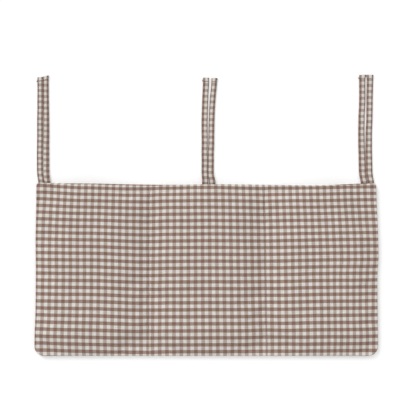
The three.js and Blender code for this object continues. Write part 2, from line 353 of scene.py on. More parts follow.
def finish_cotton(tree, shader, yarn, polish):
    """The relief of the yarns, and a matt face that is a little smoother where they come up."""
    relief = maths(tree, "MULTIPLY_ADD", yarn["Slub"], SLUB_RELIEF, yarn["Dome"])
    feed(tree, bump(tree, relief, YARN_HEIGHT), shader.inputs["Normal"])
    rough = maths(tree, "MULTIPLY_ADD", yarn["Dome"], -polish, CLOTH_ROUGHNESS)
    feed(tree, rough, shader.inputs["Roughness"])
    shader.inputs["Specular IOR Level"].default_value = CLOTH_SHINE


print("yarns in a check repeat:", round(YARNS_PER_CHECK))

# %% Make the gingham
CREAM = (0.701, 0.670, 0.632, 1)
BROWN = (0.2245, 0.1325, 0.103, 1)
MIXED_SHADE = (1.008, 0.995, 0.96, 1)
ALONG_SHARE = 0.565
ACROSS_SHARE = 0.78
TOP_YARN_SHARE = 0.2
HALF_BAND = 0.25
BAND_SOFTNESS = 0.03
BAND_DRIFT = 0.05
DRIFT_SCALE = 0.7
CLOUD_SCALE = 0.25
CLOUD_DEPTH = 0.08
# The gap and top values paint shade in the gaps between yarns and light on their tops; the streaks are
# slubs.
GINGHAM_PAINTED_SHADE_AND_SLUBS = {"gap_shade": 0.91, "top_light": 0.22, "streak": 0.42}
GINGHAM_POLISH = 0.08
GINGHAM_SHEEN = 0.08
TIE_TONE = 0.965


def band(tree, place):
    """One on a dyed band, which lies round each whole number, and zero between two of them."""
    node = tree.nodes.new("ShaderNodeMapRange")
    node.interpolation_type = "SMOOTHSTEP"
    feed(tree, maths(tree, "PINGPONG", place, 0.5), node.inputs["Value"])
    node.inputs["From Min"].default_value = HALF_BAND - BAND_SOFTNESS
    node.inputs["From Max"].default_value = HALF_BAND + BAND_SOFTNESS
    node.inputs["To Min"].default_value = 1.0
    node.inputs["To Max"].default_value = 0.0
    return node.outputs[0]


def checked(tree, weave, over):
    """The colour of the checks: how much dyed yarn shows at a place, and where the bands mix."""
    place = tree.nodes.new("ShaderNodeSeparateXYZ")
    feed(tree, weave, place.inputs[0])
    drift = noisy(tree, weave, DRIFT_SCALE)
    along = band(tree, maths(tree, "MULTIPLY_ADD", drift, BAND_DRIFT, place.outputs["X"]))
    across = band(tree, maths(tree, "MULTIPLY_ADD", drift, -BAND_DRIFT, place.outputs["Y"]))
    both = maths(tree, "MULTIPLY", along, across)
    differ = maths(tree, "SUBTRACT", across, along)
    dyed = maths(tree, "MULTIPLY", along, ALONG_SHARE)
    dyed = maths(tree, "MULTIPLY_ADD", across, ACROSS_SHARE, dyed)
    dyed = maths(tree, "MULTIPLY_ADD", both, 1 - ALONG_SHARE - ACROSS_SHARE, dyed)
    dyed = maths(tree, "MULTIPLY_ADD", maths(tree, "MULTIPLY", differ, over), TOP_YARN_SHARE, dyed)
    colour = mixed(tree, dyed, CREAM, BROWN)
    return mixed(tree, maths(tree, "ABSOLUTE", differ), colour, MIXED_SHADE, "MULTIPLY")


def make_gingham(name, tone):
    """The checked cotton, a little darker where the tone is below one."""
    material, tree, shader = new_material(name)
    weave, yarn = woven(tree)
    # Painted shade in the yarn gaps, painted light on the yarn tops, and slub streaks.
    shade = painted_yarn_shade_and_slubs(tree, yarn, **GINGHAM_PAINTED_SHADE_AND_SLUBS)
    shade = maths(tree, "MULTIPLY_ADD", noisy(tree, weave, CLOUD_SCALE), CLOUD_DEPTH, shade)
    shade = maths(tree, "MULTIPLY", shade, tone)
    feed(tree, shaded(tree, checked(tree, weave, yarn["Over"]), shade), shader.inputs["Base Color"])
    finish_cotton(tree, shader, yarn, GINGHAM_POLISH)
    shader.inputs["Sheen Weight"].default_value = GINGHAM_SHEEN
    return material


gingham = make_gingham("gingham_cotton", 1.0)
tie_gingham = make_gingham("gingham_ties", TIE_TONE)
print("materials:", gingham.name, "and", tie_gingham.name)

# %% [markdown]
# ## Lining and thread
# The pockets are lined with plain undyed cotton, which shares the yarn group with the gingham. The sewing
# thread is matt with a fine twist, pale on the panel and dark brown on the ties, and its colour is
# painted darker in the grooves of the twist and lighter on its plies. It is drawn on Object coordinates,
# because each stitch is too small to need a map of its own.

# %% Make the lining and the thread
LINING_COLOUR = (0.66, 0.61, 0.54)
# Each thread is a pair of colours: painted shade for the grooves of its twist, then its lit colour on the
# plies.
PALE_THREAD = ((0.46, 0.41, 0.36, 1), (0.64, 0.59, 0.53, 1))
BROWN_THREAD = ((0.050, 0.030, 0.024, 1), (0.110, 0.068, 0.054, 1))
# The gap and top values paint shade in the gaps between yarns and light on their tops; the streaks are
# slubs.
LINING_PAINTED_SHADE_AND_SLUBS = {"gap_shade": 0.9, "top_light": 0.2, "streak": 0.2}
LINING_POLISH = 0.06
THREAD_TWIST = 2600.0
TWIST_UNEVENNESS = 1.5
TWIST_HEIGHT = 0.05 * MM
THREAD_ROUGHNESS = 0.75
THREAD_POLISH = 0.1


def make_lining():
    material, tree, shader = new_material("plain_lining")
    _, yarn = woven(tree)
    # Painted shade in the yarn gaps, painted light on the yarn tops, and slub streaks.
    shade = painted_yarn_shade_and_slubs(tree, yarn, **LINING_PAINTED_SHADE_AND_SLUBS)
    feed(tree, shaded(tree, LINING_COLOUR, shade), shader.inputs["Base Color"])
    finish_cotton(tree, shader, yarn, LINING_POLISH)
    return material


def make_thread(name, shaded_groove, light):
    material, tree, shader = new_material(name)
    wave = tree.nodes.new("ShaderNodeTexWave")
    wave.bands_direction = "DIAGONAL"
    wave.inputs["Scale"].default_value = THREAD_TWIST
    wave.inputs["Distortion"].default_value = TWIST_UNEVENNESS
    feed(tree, tree.nodes.new("ShaderNodeTexCoord").outputs["Object"], wave.inputs["Vector"])
    twist = wave.outputs["Fac"]
    # Painted shade in the grooves of the twist, lighter on the plies.
    feed(tree, mixed(tree, twist, shaded_groove, light), shader.inputs["Base Color"])
    feed(tree, bump(tree, twist, TWIST_HEIGHT), shader.inputs["Normal"])
    rough = maths(tree, "MULTIPLY_ADD", twist, -THREAD_POLISH, THREAD_ROUGHNESS)
    feed(tree, rough, shader.inputs["Roughness"])
    return material


lining = make_lining()
pale_thread = make_thread("pale_thread", *PALE_THREAD)
brown_thread = make_thread("brown_thread", *BROWN_THREAD)
print("materials:", lining.name, pale_thread.name, brown_thread.name)

# %% [markdown]
# ## How the panel lies
# A cloth panel on a table is never a true rectangle. The sides of this one draw in towards the top,
# its top edge sags between the ties, and its sewn lines wander. Each is a smooth curve through a few
# points, which were set by comparing the render with the photograph. A point is a share of the
# panel's height, or a distance from its middle in millimetres, with the shift there in millimetres.
# One function puts the curves together, and every panel piece passes through it last, so that the
# pieces stay together.

# %% Say how the panel lies
LEFT_EDGE = [(0.0, -0.2), (0.12, 0.0), (0.25, 1.5), (0.5, 2.2), (0.67, 1.8), (0.85, 2.8), (1.0, 3.0)]
LEFT_LINE = [(0.0, -0.1), (1.0, 0.7)]
RIGHT_LINE = [(0.0, 4.9), (0.35, 3.3), (0.55, 2.5), (0.76, 1.6), (1.0, -0.4)]
RIGHT_EDGE = [(0.0, -0.6), (0.3, -1.5), (0.48, -1.6), (0.57, 0.2), (0.75, -1.1), (0.9, -3.2), (1.0, -3.8)]
TOP_EDGE = [
    (-300, 1.6), (-240, 0.7), (-190, 0.2), (-150, -0.8), (-72, -1.9),
    (10, -0.9), (70, -1.3), (140, -2.3), (200, -2.7), (300, 0.8),
]
BOTTOM_EDGE = -0.6


def upness(y):
    """Zero at the panel's bottom edge and one at its top edge."""
    return (y - PANEL_BOTTOM) / PANEL_HEIGHT


def curve(place, points):
    """A value read off a smooth curve through (place, value) points, level before and after them."""
    last = len(points) - 1
    slopes = [0.0] * (last + 1)
    for i in range(1, last):
        slopes[i] = (points[i + 1][1] - points[i - 1][1]) / (points[i + 1][0] - points[i - 1][0])
    i = 0
    while i < last - 1 and place > points[i + 1][0]:
        i += 1
    (start, low), (end, high) = points[i], points[i + 1]
    width = end - start
    t = min(1.0, max(0.0, (place - start) / width))
    rise = (high - low) * t * t * (3 - 2 * t)
    bend = width * t * (1 - t) * (slopes[i] * (1 - t) - slopes[i + 1] * t)
    return low + rise + bend


def lie(point):
    """Where a point of the flat panel comes to lie."""
    up = upness(point.y)
    shift = curve(
        point.x,
        [
            (PANEL_LEFT, curve(up, LEFT_EDGE)),
            (DIVIDER_LEFT, curve(up, LEFT_LINE)),
            (DIVIDER_RIGHT, curve(up, RIGHT_LINE)),
            (PANEL_RIGHT, curve(up, RIGHT_EDGE)),
        ],
    )
    sag = BOTTOM_EDGE + (curve(point.x / MM, TOP_EDGE) - BOTTOM_EDGE) * max(up, 0.0)
    return point + Vector((shift * MM, sag * MM, 0))


print("corner lies at", [round(c / MM, 1) for c in lie(Vector((PANEL_LEFT, PANEL_TOP, 0)))], "mm")

# %% [markdown]
# ## Where the checks fall
# The weave map counts checks: whole numbers are the middles of dyed bands. The front was cut as one
# piece, so the count runs on across the pockets, but each sewn line takes a little cloth into its
# groove, the cloth of the right pocket is drawn together towards its edge, and the rows climb and
# sink a little where the cloth was pulled. The points of these curves are like those of the panel,
# with pitches and climbs in millimetres, and takes and shifts in checks.

# %% Count the checks
LEFT_LINE_COLUMN = 15.33
RIGHT_LINE_COLUMN = 32.0
LEFT_PITCH = [(0.0, 12.41), (0.55, 12.31), (0.78, 12.26), (1.0, 12.09)]
RIGHT_PITCH = [(0.0, 12.62), (0.35, 12.57), (1.0, 12.05)]
MIDDLE_TAKE = [(0.0, 0.18), (1.0, 0.04)]
OUTER_TAKE = [(0.0, 0.22), (0.35, 0.19), (0.75, 0.14), (1.0, 0.13)]
GROOVE_REACH = 2.0 * MM
DRAWN_FROM = 100 * MM
DRAWN_FULL = 135 * MM
DRAWN_SHARE = [(0.1, 0.08), (0.25, 0.09), (0.85, 0.0)]
FIRST_ROW = 6.2 * MM
ROW_PITCH = 11.43 * MM
ROW_GAIN = 0.0206 * MM
CLIMB_AT_TOP = [
    (-300, 1.4), (-250, -1.1), (-222, -2.3), (-172, -2.6), (-104, -1.3),
    (-70, 0.1), (95, -0.7), (116, 0.2), (200, 0.8), (300, -0.6),
]
CLIMB_HALFWAY = [
    (-300, 1.9), (-190, 1.9), (-104, -0.8), (-60, 0.6), (95, 0.6), (116, 1.1), (200, 3.7), (300, 2.4)
]
CLIMB_AT_FOOT = [
    (-300, 3.1), (-200, 0.7), (-104, -1.0), (-60, 0.3), (95, 0.9), (116, 0.9), (200, 1.8), (300, 2.2)
]
HEM_SHIFT = [
    (-260, 0.0), (-225, -0.3), (-70, -0.3), (-30, 0.0), (215, 0.0), (240, -0.5), (275, -0.5), (292, 0.0)
]


def smooth(value, start, end):
    """Rises softly from zero at start to one at end."""
    share = min(1.0, max(0.0, (value - start) / (end - start)))
    return share * share * (3 - 2 * share)


def taken(distance, most):
    """The part of a check that has gone into the groove of a sewn line by this distance from it."""
    return most * (1 - math.exp(-distance / GROOVE_REACH))


def column_at(x, y):
    """The count of checks across the panel."""
    up = upness(y)
    most = curve(up, OUTER_TAKE)
    if x < DIVIDER_LEFT:
        distance = DIVIDER_LEFT - x
        return LEFT_LINE_COLUMN - taken(distance, most) - distance / (curve(up, LEFT_PITCH) * MM)
    if x > DIVIDER_RIGHT:
        distance = x - DIVIDER_RIGHT
        drawn = max(0.0, distance - DRAWN_FROM) * smooth(distance, DRAWN_FROM, DRAWN_FULL)
        distance += drawn * curve(up, DRAWN_SHARE)
        return RIGHT_LINE_COLUMN + taken(distance, most) + distance / (curve(up, RIGHT_PITCH) * MM)
    width = DIVIDER_RIGHT - DIVIDER_LEFT
    most = curve(up, MIDDLE_TAKE)
    span = RIGHT_LINE_COLUMN - LEFT_LINE_COLUMN - 2 * most
    left_part = taken(x - DIVIDER_LEFT, most)
    right_part = most - taken(DIVIDER_RIGHT - x, most)
    return LEFT_LINE_COLUMN + left_part + span * (x - DIVIDER_LEFT) / width + right_part


def row_at(x, y):
    """The count of checks down the panel, whose rows grow a little wider towards its bottom edge."""
    up = min(1.0, max(0.0, upness(y)))
    top, half, foot = (curve(x / MM, line) for line in (CLIMB_AT_TOP, CLIMB_HALFWAY, CLIMB_AT_FOOT))
    climb = foot * (1 - up) * (1 - 2 * up) + half * 4 * up * (1 - up) + top * up * (2 * up - 1)
    depth = PANEL_TOP - y + climb * MM - FIRST_ROW
    return (math.sqrt(ROW_PITCH * ROW_PITCH + 4 * ROW_GAIN * depth) - ROW_PITCH) / (2 * ROW_GAIN)


def hem_row_at(x, y):
    """The hem was turned in by itself, so its rows don't always meet those of the front."""
    return row_at(x, y) + curve(x / MM, HEM_SHIFT)


print("checks across the front:", round(column_at(PANEL_RIGHT, 0) - column_at(PANEL_LEFT, 0), 1))

# %% [markdown]
# ## Cutting cloth
# A cut piece starts as a grid, one of the simplest bmesh shapes, with its columns and rows moved to
# where the shape will need them: close together along edges and sewn lines, wide apart between.

# %% Space the columns and rows
CORNER_RADIUS = 17 * MM
TOP_CORNER_RADIUS = 5 * MM
EDGE_BAND = 7 * MM
SEAM_BAND = 8 * MM
GROOVE_BAND = 2 * MM
FINE_CELL = 0.5 * MM


def even_run(start, end, cells):
    """Even places from start up to the place before end."""
    return [start + (end - start) * i / cells for i in range(cells)]


def stepped_run(start, *stretches):
    """Even places along one stretch after another, each given by its end and its number of cells."""
    places = []
    for end, cells in stretches:
        places += even_run(start, end, cells)
        start = end
    return places


def eased_run(start, end, cells):
    """Places that crowd together at the start, as an arc seen from its side does."""
    return [start + (end - start) * (1 - math.cos(math.pi / 2 * i / cells)) for i in range(cells)]


def eased_end(start, end, cells):
    """The same places turned round, so that they crowd together at the end, which is one of them."""
    return [start + end - place for place in reversed(eased_run(start, end, cells))]


def mirrored(places):
    """Places from an outer end to zero, and the same places on the other side."""
    return places + [0.0] + [-place for place in reversed(places)]


pocket_middle = sum(POCKETS["left"]) / 2
panel_columns = mirrored(
    eased_run(PANEL_LEFT, PANEL_LEFT + EDGE_BAND, 9)
    + stepped_run(
        PANEL_LEFT + EDGE_BAND,
        (pocket_middle - FINE_CELL, 26),
        (pocket_middle + FINE_CELL, 2),
        (DIVIDER_LEFT - SEAM_BAND, 26),
        (DIVIDER_LEFT - GROOVE_BAND, 6),
        (DIVIDER_LEFT + GROOVE_BAND, 8),
        (DIVIDER_LEFT + SEAM_BAND, 6),
        (-FINE_CELL, 26),
        (0.0, 1),
    )
)
front_rows = (
    eased_run(PANEL_BOTTOM, PANEL_BOTTOM + CORNER_RADIUS, 14)
    + stepped_run(PANEL_BOTTOM + CORNER_RADIUS, (MOUTH - EDGE_BAND, 80), (MOUTH, 5))
    + [MOUTH]
)
print("front grid:", len(panel_columns), "columns by", len(front_rows), "rows")

# %% [markdown]
# ## The outline
# The bottom corners are round, and the top corners are rounded a little. A grid has square corners,
# so its outer columns are drawn in where the outline is. The distance from the outline then says
# how the edge rolls down to its seam.

# %% Helpers for the outline
def drawn_in(depth, radius):
    """How far a round corner of this radius lies inside the square one, at a depth from its end."""
    if depth >= radius:
        return 0.0
    return radius - math.sqrt(max(0.0, radius * radius - (radius - depth) ** 2))


def round_corners(point, top):
    """Draws a point in towards the middle where the corners of a panel up to this top are round."""
    inset = drawn_in(point.y - PANEL_BOTTOM, CORNER_RADIUS)
    inset += drawn_in(top - point.y, TOP_CORNER_RADIUS)
    side = HALF_WIDTH - abs(point.x)
    share = max(0.0, 1 - side / (2 * CORNER_RADIUS))
    point.x -= math.copysign(inset * share, point.x)


def inside_corner(side, end, radius):
    """How far a point lies inside a round corner, given its distances from the two straight edges."""
    if side < radius and end < radius:
        return radius - math.hypot(radius - side, radius - end)
    return min(side, end)


def edge_distance(point, top):
    """How far a point lies inside the panel's outline, which is open at the top if top is None."""
    side = HALF_WIDTH - abs(point.x)
    foot = point.y - PANEL_BOTTOM
    nearest = inside_corner(side, foot, CORNER_RADIUS)
    if top is not None:
        head = top - point.y
        nearest = min(nearest, inside_corner(side, head, TOP_CORNER_RADIUS))
    return max(0.0, nearest)


def rolled(distance, width):
    """Zero on the outline, rising as a quarter of an ellipse to one at this width inside it."""
    share = min(1.0, distance / width)
    return math.sqrt(max(0.0, 1 - (1 - share) ** 2))


def outward(point, top):
    """The way from a point to the nearest place on the outline."""
    small = 0.01 * MM
    steps = (Vector((small, 0, 0)), Vector((0, small, 0)))
    slopes = [edge_distance(point - step, top) - edge_distance(point + step, top) for step in steps]
    return Vector((*slopes, 0)).normalized()


def rolled_out(point, top, width, drop):
    """Where a point of an edge that rolls down by a drop would lie if the edge were flat."""
    distance = edge_distance(point, top)
    if distance >= width:
        return point
    cells = 8
    start = math.acos(1 - distance / width)
    cell = (math.pi / 2 - start) / cells
    angles = even_run(start + cell / 2, math.pi / 2 + cell / 2, cells)
    length = sum(math.hypot(width * math.sin(angle), drop * math.cos(angle)) for angle in angles) * cell
    return point + outward(point, top) * (length - (width - distance))


radii = [round(radius / MM) for radius in (CORNER_RADIUS, TOP_CORNER_RADIUS)]
print("corner radii, bottom and top:", radii, "mm")

# %% Helpers for laying a cloth
def cut_cloth(cloth, columns, rows):
    """Adds a flat grid to the bmesh, and returns its vertices."""
    across = len(columns) - 1
    up = len(rows) - 1
    made = bmesh.ops.create_grid(cloth, x_segments=across, y_segments=up, size=0.5)
    for vert in made["verts"]:
        vert.co.x = columns[round((vert.co.x + 0.5) * across)]
        vert.co.y = rows[round((vert.co.y + 0.5) * up)]
    return made["verts"]


def mark_weave(cloth, faces, flatten, count_rows):
    """Writes the count of checks into the cloth's map, at the places that the flattened cloth has."""
    layer = cloth.loops.layers.uv.get(WEAVE_MAP) or cloth.loops.layers.uv.new(WEAVE_MAP)
    counts = {}
    for face in faces:
        for loop in face.loops:
            if loop.vert not in counts:
                place = flatten(loop.vert.co)
                counts[loop.vert] = (column_at(place.x, place.y), count_rows(place.x, place.y))
            loop[layer].uv = counts[loop.vert]


def lay_cloth(cloth, rows, height, flatten, count_rows):
    """Adds a cloth as wide as the panel, with its checks and its heights, and returns its faces."""
    before = set(cloth.faces)
    verts = cut_cloth(cloth, panel_columns, rows)
    faces = [face for face in cloth.faces if face not in before]
    for vert in verts:
        round_corners(vert.co, rows[-1])
    mark_weave(cloth, faces, flatten, count_rows)
    for vert in verts:
        vert.co.z = height(vert.co)
    return faces


print("a row of checks at the panel's top:", round(ROW_PITCH / MM, 1), "mm high")

# %% [markdown]
# ## The front cloth
# The front is one cloth from side to side, sewn down along its edges and along two lines, with a
# crown of slack cloth in each pocket and a few soft creases, each given in millimetres by its two
# ends, its depth and its width. It is shaped by a height for each of its points, and then a cloth
# simulation, in which the cloth is a little slack and puffed up from below, lets it settle between
# the sewn lines, where real cloth puckers. What the simulation may move is capped softly, so the
# front stays in the space that the frame gives it. The narrow cells down the middle of a pocket bend
# more easily than the others and leave a ridge, so the cloth round them is smoothed.

# %% Shape the front cloth
EDGE_SEAM_HEIGHT = 3.8 * MM
EDGE_ROLL = 2.0 * MM
CROWN = CROWN_TOP - FRONT_FACE
CROWN_RISE = 40 * MM
CROWN_FULLNESS = 4
GROOVE_DEPTH = 0.4 * MM
GROOVE_WIDTH = 1.1 * MM
CREASES = [
    {"from": (-278, -225), "to": (-220, -135), "depth": 0.6, "width": 7},
    {"from": (290, -217), "to": (238, -161), "depth": 0.6, "width": 6},
    {"from": (117, 60), "to": (116, -25), "depth": 0.45, "width": 7},
    {"from": (-222, -30), "to": (-205, -60), "depth": 0.4, "width": 9},
]
CREASE_FADE = (0.75, 0.2)


def pocket_at(x):
    """Where the pocket at this place begins and ends."""
    for start, end in POCKETS.values():
        if x <= end:
            break
    return start, end


def crown_at(x, y):
    """How far the slack of a pocket stands up."""
    start, end = pocket_at(x)
    aside = abs(2 * (x - start) / (end - start) - 1)
    return CROWN * (1 - min(1.0, aside) ** CROWN_FULLNESS) * smooth(y, WALL_FOOT, WALL_FOOT + CROWN_RISE)


def line_distance(x):
    """How far a place lies from the nearer sewn line."""
    return min(abs(x - DIVIDER_LEFT), abs(x - DIVIDER_RIGHT))


def creased(point):
    """How deep the soft creases are pressed in at a point."""
    depth = 0.0
    for crease in CREASES:
        start = Vector(crease["from"]) * MM
        end = Vector(crease["to"]) * MM
        nearest, share = intersect_point_line(point.xy, start, end)
        aside = (point.xy - nearest.xy).length / (crease["width"] * MM)
        depth += crease["depth"] * MM * math.exp(-aside * aside) * smooth(abs(share - 0.5), *CREASE_FADE)
    return depth


def front_height(point):
    """The height of the front before its slack settles."""
    edge = rolled(edge_distance(point, None), EDGE_ROLL)
    groove = GROOVE_DEPTH * math.exp(-((line_distance(point.x) / GROOVE_WIDTH) ** 2))
    level = EDGE_SEAM_HEIGHT + (FRONT_FACE - EDGE_SEAM_HEIGHT) * edge
    return level + crown_at(point.x, point.y) - groove - creased(point) * edge


def flat_front(point):
    """Where a point of the front would lie without its rolled edges."""
    return rolled_out(point, None, EDGE_ROLL, FRONT_FACE - EDGE_SEAM_HEIGHT)


def make_front():
    cloth = bmesh.new()
    lay_cloth(cloth, front_rows, front_height, flat_front, row_at)
    return new_piece("front_cloth", cloth, gingham, lining)


front = make_front()
print("front cloth:", len(front.data.vertices), "points")

# %% Hold what is sewn
SEWN_GROUP = "sewn"


def sew_down(cloth_object):
    """Puts the points that are held by stitches into a group."""
    group = cloth_object.vertex_groups.new(name=SEWN_GROUP)
    held = [
        vert.index
        for vert in cloth_object.data.vertices
        if edge_distance(vert.co, None) < EDGE_ROLL or line_distance(vert.co.x) < FINE_CELL / 2
    ]
    group.add(held, 1.0, "REPLACE")
    return len(held)


print("held by stitches:", sew_down(front), "points")

# %% Let the slack settle
SLACK = 0.012
PUFF = 0.25
SETTLE_FRAMES = 24
COTTON = {
    "quality": 6,
    "mass": 0.2,
    "tension_stiffness": 12,
    "compression_stiffness": 12,
    "shear_stiffness": 4,
    "bending_stiffness": 0.6,
}
SIDEWAYS_SHARE = 0.3
MOST_MOVED = 3.2 * MM
LEAST_REACH = 1e-6
RIDGE_REACH = 30 * MM
RIDGE_PASSES = 40


def settle(cloth_object):
    """Runs the cloth simulation and keeps its shape, within a cap."""
    start = [vert.co.copy() for vert in cloth_object.data.vertices]
    modifier = cloth_object.modifiers.new("settle", "CLOTH")
    settings = modifier.settings
    for label, value in COTTON.items():
        setattr(settings, label, value)
    settings.vertex_group_mass = SEWN_GROUP
    settings.shrink_min = -SLACK
    settings.use_pressure = True
    settings.uniform_pressure_force = PUFF
    settings.effector_weights.gravity = 0
    modifier.collision_settings.use_collision = False
    modifier.point_cache.frame_start = 1
    modifier.point_cache.frame_end = SETTLE_FRAMES
    for step in range(1, SETTLE_FRAMES + 1):
        bpy.context.scene.frame_set(step)
    graph = bpy.context.evaluated_depsgraph_get()
    settled = cloth_object.evaluated_get(graph).to_mesh()
    moves = [vert.co - place for vert, place in zip(settled.vertices, start)]
    cloth_object.evaluated_get(graph).to_mesh_clear()
    cloth_object.modifiers.remove(modifier)
    bpy.context.scene.frame_set(1)
    furthest = 0.0
    for vert, place, move in zip(cloth_object.data.vertices, start, moves):
        move.x *= SIDEWAYS_SHARE
        move.y *= SIDEWAYS_SHARE
        reach = move.length / MOST_MOVED
        move *= math.tanh(reach) / max(reach, LEAST_REACH)
        furthest = max(furthest, move.length)
        vert.co = place + move
    return furthest


def smooth_ridges(cloth_object):
    """Smooths the heights along the middle of each pocket."""
    cloth = bmesh.new()
    cloth.from_mesh(cloth_object.data)
    near = []
    for vert in cloth.verts:
        start, end = pocket_at(vert.co.x)
        if abs(vert.co.x - (start + end) / 2) < RIDGE_REACH and vert.co.y > WALL_FOOT + CROWN_RISE / 2:
            near.append(vert)
    for _ in range(RIDGE_PASSES):
        bmesh.ops.smooth_vert(cloth, verts=near, factor=0.5, use_axis_z=True)
    cloth.to_mesh(cloth_object.data)
    cloth.free()


print("slack settled by up to", round(settle(front) / MM, 2), "mm")
smooth_ridges(front)

# %% [markdown]
# ## Pocket walls
# Each pocket opens by itself, so the front is parted at its sewn lines. The middle of a wall lifts
# and its sides stay sewn, and a blend follows only two bodies along one line, so each wall is also
# parted down its middle, where both halves move alike and nothing shows. Solidify gives the wall
# its lining, and a bevel rounds the fold of the mouth.

# %% Helpers for pocket walls
WALL_THICKNESS = 1.9 * MM
MOUTH_HEM = 14 * MM
MOUTH_ROUNDING = 0.8 * MM
LEAST_EDGE = WALL_THICKNESS / 10


def keep_modifiers(made):
    """Applies what the modifiers do, so that the mesh is final."""
    graph = bpy.context.evaluated_depsgraph_get()
    final = bpy.data.meshes.new_from_object(made.evaluated_get(graph))
    made.modifiers.clear()
    made.data = final


def line_wall(wall):
    """Gives the front cloth its thickness, with the lining on its inside."""
    shell = wall.modifiers.new("lining", "SOLIDIFY")
    shell.thickness = WALL_THICKNESS
    shell.offset = -1
    shell.material_offset = 1
    keep_modifiers(wall)


def fold_mouth(wall):
    """Rounds the mouth's two long edges, and turns the front cloth over to the inside."""
    cloth = bmesh.new()
    cloth.from_mesh(wall.data)
    edges = [
        edge
        for edge in cloth.edges
        if all(vert.co.y > MOUTH - FINE_CELL for vert in edge.verts)
        and abs(edge.verts[0].co.x - edge.verts[1].co.x) > LEAST_EDGE
    ]
    bmesh.ops.bevel(
        cloth, geom=edges, offset=MOUTH_ROUNDING, segments=3, profile=0.5, affect="EDGES", material=-1
    )
    for face in cloth.faces:
        if face.calc_center_median().y > MOUTH - MOUTH_HEM:
            face.material_index = 0
    cloth.to_mesh(wall.data)
    cloth.free()


def lay_down(made):
    """Moves a finished piece to where the panel lies."""
    for vert in made.data.vertices:
        vert.co = lie(vert.co)


def part_wall(name, start, end):
    """Makes one half of a pocket wall from the front cloth between two places."""
    cloth = bmesh.new()
    cloth.from_mesh(front.data)
    others = [face for face in cloth.faces if not start < face.calc_center_median().x < end]
    bmesh.ops.delete(cloth, geom=others, context="FACES")
    wall = new_piece(name, cloth, gingham, lining)
    line_wall(wall)
    fold_mouth(wall)
    lay_down(wall)
    return wall


print("wall thickness:", round(WALL_THICKNESS / MM, 1), "mm")

# %% Part the front into pocket walls
walls = []
for pocket, (start, end) in POCKETS.items():
    middle = (start + end) / 2
    for side, edge in (("left", start), ("right", end)):
        wall = part_wall(f"pocket_{pocket}_wall_{side}", min(edge, middle), max(edge, middle))
        lie(Vector((edge, 0, 0)))
        lie(Vector((middle, 0, 0)))
        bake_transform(wall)
        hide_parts(f"pocket_front_{pocket}", f"pocket_lining_{pocket}", f"pocket_mouth_{pocket}")
        walls.append(wall)
bpy.data.objects.remove(front)
print("walls:", len(walls), "halves")

# %% [markdown]
# ## The padded back
# The back is a thin pad: gingham outside, lining inside, wadding between. Two grids with one outline
# are shaped as its two faces and welded along the outline, which closes it. The under side lies
# flat, its edges roll up to the seam, and the two sewn lines draw channels in it.

# %% Shape the padded back
TOP_SEAM_HEIGHT = 2.2 * MM
TOP_SLOPE = 12 * MM
BACK_ROLL = 4.0 * MM
LINING_SLOPE = 14 * MM
TOP_FOLD = 3.5 * MM
HEM_STEP = 0.4 * MM
HEM_SOFTNESS = 1 * MM
CHANNEL_DEPTH = 0.8 * MM
CHANNEL_WIDTH = 4.0 * MM
back_rows = (
    eased_run(PANEL_BOTTOM, PANEL_BOTTOM + CORNER_RADIUS, 14)
    + stepped_run(
        PANEL_BOTTOM + CORNER_RADIUS,
        (HEM_BOTTOM - HEM_SOFTNESS, 60),
        (HEM_BOTTOM + HEM_SOFTNESS, 3),
        (PANEL_TOP - TOP_CORNER_RADIUS, 5),
    )
    + eased_end(PANEL_TOP - TOP_CORNER_RADIUS, PANEL_TOP, 9)
)


def seam_height(point):
    """The height of the seam line: low along the top edge, where the ties come out of it."""
    near_top = smooth(point.y, PANEL_TOP - TOP_SLOPE, PANEL_TOP)
    return EDGE_SEAM_HEIGHT + (TOP_SEAM_HEIGHT - EDGE_SEAM_HEIGHT) * near_top


def under_height(point):
    edge = rolled(edge_distance(point, PANEL_TOP), BACK_ROLL)
    channel = CHANNEL_DEPTH * math.exp(-((line_distance(point.x) / CHANNEL_WIDTH) ** 2))
    return seam_height(point) * (1 - edge) + channel * edge


def flat_under(point):
    return rolled_out(point, PANEL_TOP, BACK_ROLL, seam_height(point))


def inner_rise(point):
    """How far the inner face lies above the seam line."""
    side = smooth(edge_distance(point, None), 0, LINING_SLOPE)
    share = max(side, smooth(point.y, PANEL_TOP - TOP_SLOPE, PANEL_TOP))
    hem = HEM_STEP * smooth(point.y, HEM_BOTTOM - HEM_SOFTNESS, HEM_BOTTOM + HEM_SOFTNESS)
    return (LINING_FACE - seam_height(point)) * share + hem


def inner_height(point):
    edge = rolled(edge_distance(point, PANEL_TOP), TOP_FOLD)
    return seam_height(point) + inner_rise(point) * edge


def flat_inner(point):
    return rolled_out(point, PANEL_TOP, TOP_FOLD, inner_rise(point))


print("back grid:", len(panel_columns), "columns by", len(back_rows), "rows")

# %% Make the padded back
WELD = 0.001 * MM


def make_back():
    cloth = bmesh.new()
    lay_cloth(cloth, back_rows, under_height, flat_under, row_at)
    for face in lay_cloth(cloth, back_rows, inner_height, flat_inner, hem_row_at):
        middle = face.calc_center_median()
        lined = middle.y < HEM_BOTTOM and edge_distance(middle, None) > EDGE_ROLL
        face.material_index = 1 if lined else 0
    bmesh.ops.remove_doubles(cloth, verts=cloth.verts, dist=WELD)
    bmesh.ops.recalc_face_normals(cloth, faces=cloth.faces)
    return new_piece("back_pad", cloth, gingham, lining)


back = make_back()
lay_down(back)
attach(back, "back_panel")
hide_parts("back_cover", "back_wadding", "back_lining", "top_hem")
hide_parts("edge_seam_left", "edge_seam_right", "edge_seam_bottom")
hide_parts("divider_seam_left", "divider_seam_right")
print("back pad:", len(back.data.polygons), "faces")

